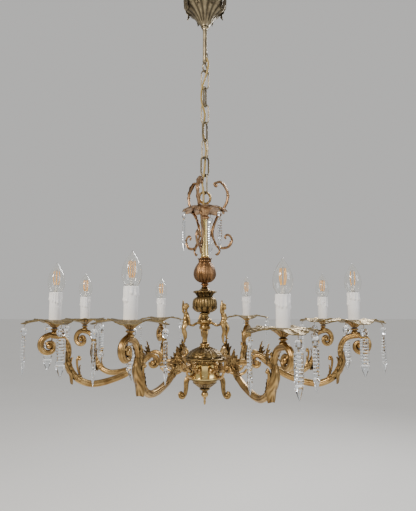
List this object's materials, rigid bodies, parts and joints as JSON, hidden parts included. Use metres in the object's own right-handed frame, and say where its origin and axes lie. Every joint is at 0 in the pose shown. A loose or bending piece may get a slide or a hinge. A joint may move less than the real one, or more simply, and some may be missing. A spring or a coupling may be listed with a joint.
{
  "type": "eight arm chandelier",
  "caption": "Ceiling chandelier on a chain: turned column with child figures, scroll arms with drip plates, candle sleeves and candle bulbs.",
  "frame": {"origin": "middle of the ceiling plate's top face, which lies against the ceiling", "axes": "+Z is the ceiling face's outward normal, up into the ceiling; -Y is the front, between two arms"},
  "size_m": [0.7358, 0.7412, 1.0092],
  "materials": {
    "canopy_bronze": "grey-brown antiqued cast brass",
    "cable_sheath": "gold sheath over a twisted pair",
    "antique_brass": "antiqued cast brass, dark in the recesses",
    "bright_brass": "polished brass tube",
    "arm_brass": "coppery antiqued cast brass",
    "plate_brass": "pale antiqued cast brass",
    "candle_plastic": "white candle sleeve with wax drips",
    "bulb_glass": "clear candle bulb",
    "crystal": "cut clear crystal"
  },
  "bodies": {
    "ceiling": {"ceiling_plate": "canopy_bronze", "stem_rod": "canopy_bronze", "cable": "cable_sheath"},
    "canopy": {"canopy": "canopy_bronze", "canopy_collar": "canopy_bronze"},
    "link_1": {"chain_link_1": "canopy_bronze"},
    "link_2": {"chain_link_2": "canopy_bronze"},
    "link_3": {"chain_link_3": "canopy_bronze"},
    "link_4": {"chain_link_4": "canopy_bronze"},
    "link_5": {"chain_link_5": "canopy_bronze"},
    "link_6": {"chain_link_6": "canopy_bronze"},
    "link_7": {"chain_link_7": "canopy_bronze"},
    "lamp": {"central_rod": "antique_brass", "crown_plate": "antique_brass", "column_tube": "bright_brass", "vase": "antique_brass", "urn": "antique_brass", "cherub_bracket": "antique_brass", "cherub_1": "antique_brass", "cherub_2": "antique_brass", "cherub_3": "antique_brass", "dome": "antique_brass", "drum": "bright_brass", "bottom_bowl": "antique_brass", "finial": "antique_brass", "arm_1": "arm_brass", "arm_2": "arm_brass", "arm_3": "arm_brass", "arm_4": "arm_brass", "arm_5": "arm_brass", "arm_6": "arm_brass", "arm_7": "arm_brass", "arm_8": "arm_brass", "drip_plate_1": "plate_brass", "drip_plate_2": "plate_brass", "drip_plate_3": "plate_brass", "drip_plate_4": "plate_brass", "drip_plate_5": "plate_brass", "drip_plate_6": "plate_brass", "drip_plate_7": "plate_brass", "drip_plate_8": "plate_brass", "candle_sleeve_1": "candle_plastic", "candle_sleeve_2": "candle_plastic", "candle_sleeve_3": "candle_plastic", "candle_sleeve_4": "candle_plastic", "candle_sleeve_5": "candle_plastic", "candle_sleeve_6": "candle_plastic", "candle_sleeve_7": "candle_plastic", "candle_sleeve_8": "candle_plastic"},
    "pendant_1": {"crown_pendant_1": "crystal"},
    "pendant_2": {"crown_pendant_2": "crystal"},
    "pendant_3": {"crown_pendant_3": "crystal"},
    "bulb_body_1": {"bulb_1": "bulb_glass"},
    "bulb_body_2": {"bulb_2": "bulb_glass"},
    "bulb_body_3": {"bulb_3": "bulb_glass"},
    "bulb_body_4": {"bulb_4": "bulb_glass"},
    "bulb_body_5": {"bulb_5": "bulb_glass"},
    "bulb_body_6": {"bulb_6": "bulb_glass"},
    "bulb_body_7": {"bulb_7": "bulb_glass"},
    "bulb_body_8": {"bulb_8": "bulb_glass"}
  },
  "joints": [
    {"name": "canopy_slide", "type": "slide", "parent": "ceiling", "child": "canopy", "axis": [0, 0, -1], "range_m": [0, 0.06]},
    {"name": "link_1_swing", "type": "hinge", "parent": "ceiling", "child": "link_1", "pos_m": [0, 0, -0.213], "axis": [0.5, 0.866, 0], "range_deg": [-10, 10], "deforming": ["cable"]},
    {"name": "link_2_swing", "type": "hinge", "parent": "link_1", "child": "link_2", "pos_m": [0, 0, -0.25705], "axis": [1, 0, 0], "range_deg": [-10, 10], "deforming": ["cable"]},
    {"name": "link_3_swing", "type": "hinge", "parent": "link_2", "child": "link_3", "pos_m": [0, 0, -0.30085], "axis": [0.2588, 0.9659, 0], "range_deg": [-10, 10], "deforming": ["cable"]},
    {"name": "link_4_swing", "type": "hinge", "parent": "link_3", "child": "link_4", "pos_m": [0, 0, -0.34465], "axis": [1, 0, 0], "range_deg": [-10, 10], "deforming": ["cable"]},
    {"name": "link_5_swing", "type": "hinge", "parent": "link_4", "child": "link_5", "pos_m": [0, 0, -0.38845], "axis": [0.5299, 0.848, 0], "range_deg": [-10, 10], "deforming": ["cable"]},
    {"name": "link_6_swing", "type": "hinge", "parent": "link_5", "child": "link_6", "pos_m": [0, 0, -0.43225], "axis": [0.809, -0.5878, 0], "range_deg": [-10, 10], "deforming": ["cable"]},
    {"name": "link_7_swing", "type": "hinge", "parent": "link_6", "child": "link_7", "pos_m": [0, 0, -0.47605], "axis": [0.9272, 0.3746, 0], "range_deg": [-10, 10], "deforming": ["cable"]},
    {"name": "lamp_swing", "type": "hinge", "parent": "link_7", "child": "lamp", "pos_m": [0, 0, -0.51985], "axis": [0.5878, -0.809, 0], "range_deg": [-10, 10], "deforming": ["cable"]},
    {"name": "pendant_1_swing", "type": "hinge", "parent": "lamp", "child": "pendant_1", "pos_m": [0.03473, -0.03597, -0.5633], "axis": [-0.7193, -0.6947, 0], "range_deg": [-20, 45]},
    {"name": "pendant_2_swing", "type": "hinge", "parent": "lamp", "child": "pendant_2", "pos_m": [0.01378, 0.04806, -0.5633], "axis": [0.9613, -0.2756, 0], "range_deg": [-20, 45]},
    {"name": "pendant_3_swing", "type": "hinge", "parent": "lamp", "child": "pendant_3", "pos_m": [-0.04852, -0.0121, -0.5633], "axis": [-0.2419, 0.9703, 0], "range_deg": [-20, 45]},
    {"name": "bulb_1_unscrew", "type": "slide", "parent": "lamp", "child": "bulb_body_1", "axis": [-0.0021, 0.005, 1], "range_m": [0, 0.03]},
    {"name": "bulb_2_unscrew", "type": "slide", "parent": "lamp", "child": "bulb_body_2", "axis": [-0.005, 0.002, 1], "range_m": [0, 0.03]},
    {"name": "bulb_3_unscrew", "type": "slide", "parent": "lamp", "child": "bulb_body_3", "axis": [0.005, 0.0021, 1], "range_m": [0, 0.03]},
    {"name": "bulb_4_unscrew", "type": "slide", "parent": "lamp", "child": "bulb_body_4", "axis": [0.0075, 0.0188, 0.9998], "range_m": [0, 0.03]},
    {"name": "bulb_5_unscrew", "type": "slide", "parent": "lamp", "child": "bulb_body_5", "axis": [0.0091, -0.0211, 0.9997], "range_m": [0, 0.03]},
    {"name": "bulb_6_unscrew", "type": "slide", "parent": "lamp", "child": "bulb_body_6", "axis": [-0.005, 0.002, 1], "range_m": [0, 0.03]},
    {"name": "bulb_7_unscrew", "type": "slide", "parent": "lamp", "child": "bulb_body_7", "axis": [0.005, 0.0021, 1], "range_m": [0, 0.03]},
    {"name": "bulb_8_unscrew", "type": "slide", "parent": "lamp", "child": "bulb_body_8", "axis": [-0.0045, -0.0113, 0.9999], "range_m": [0, 0.03]}
  ]
}
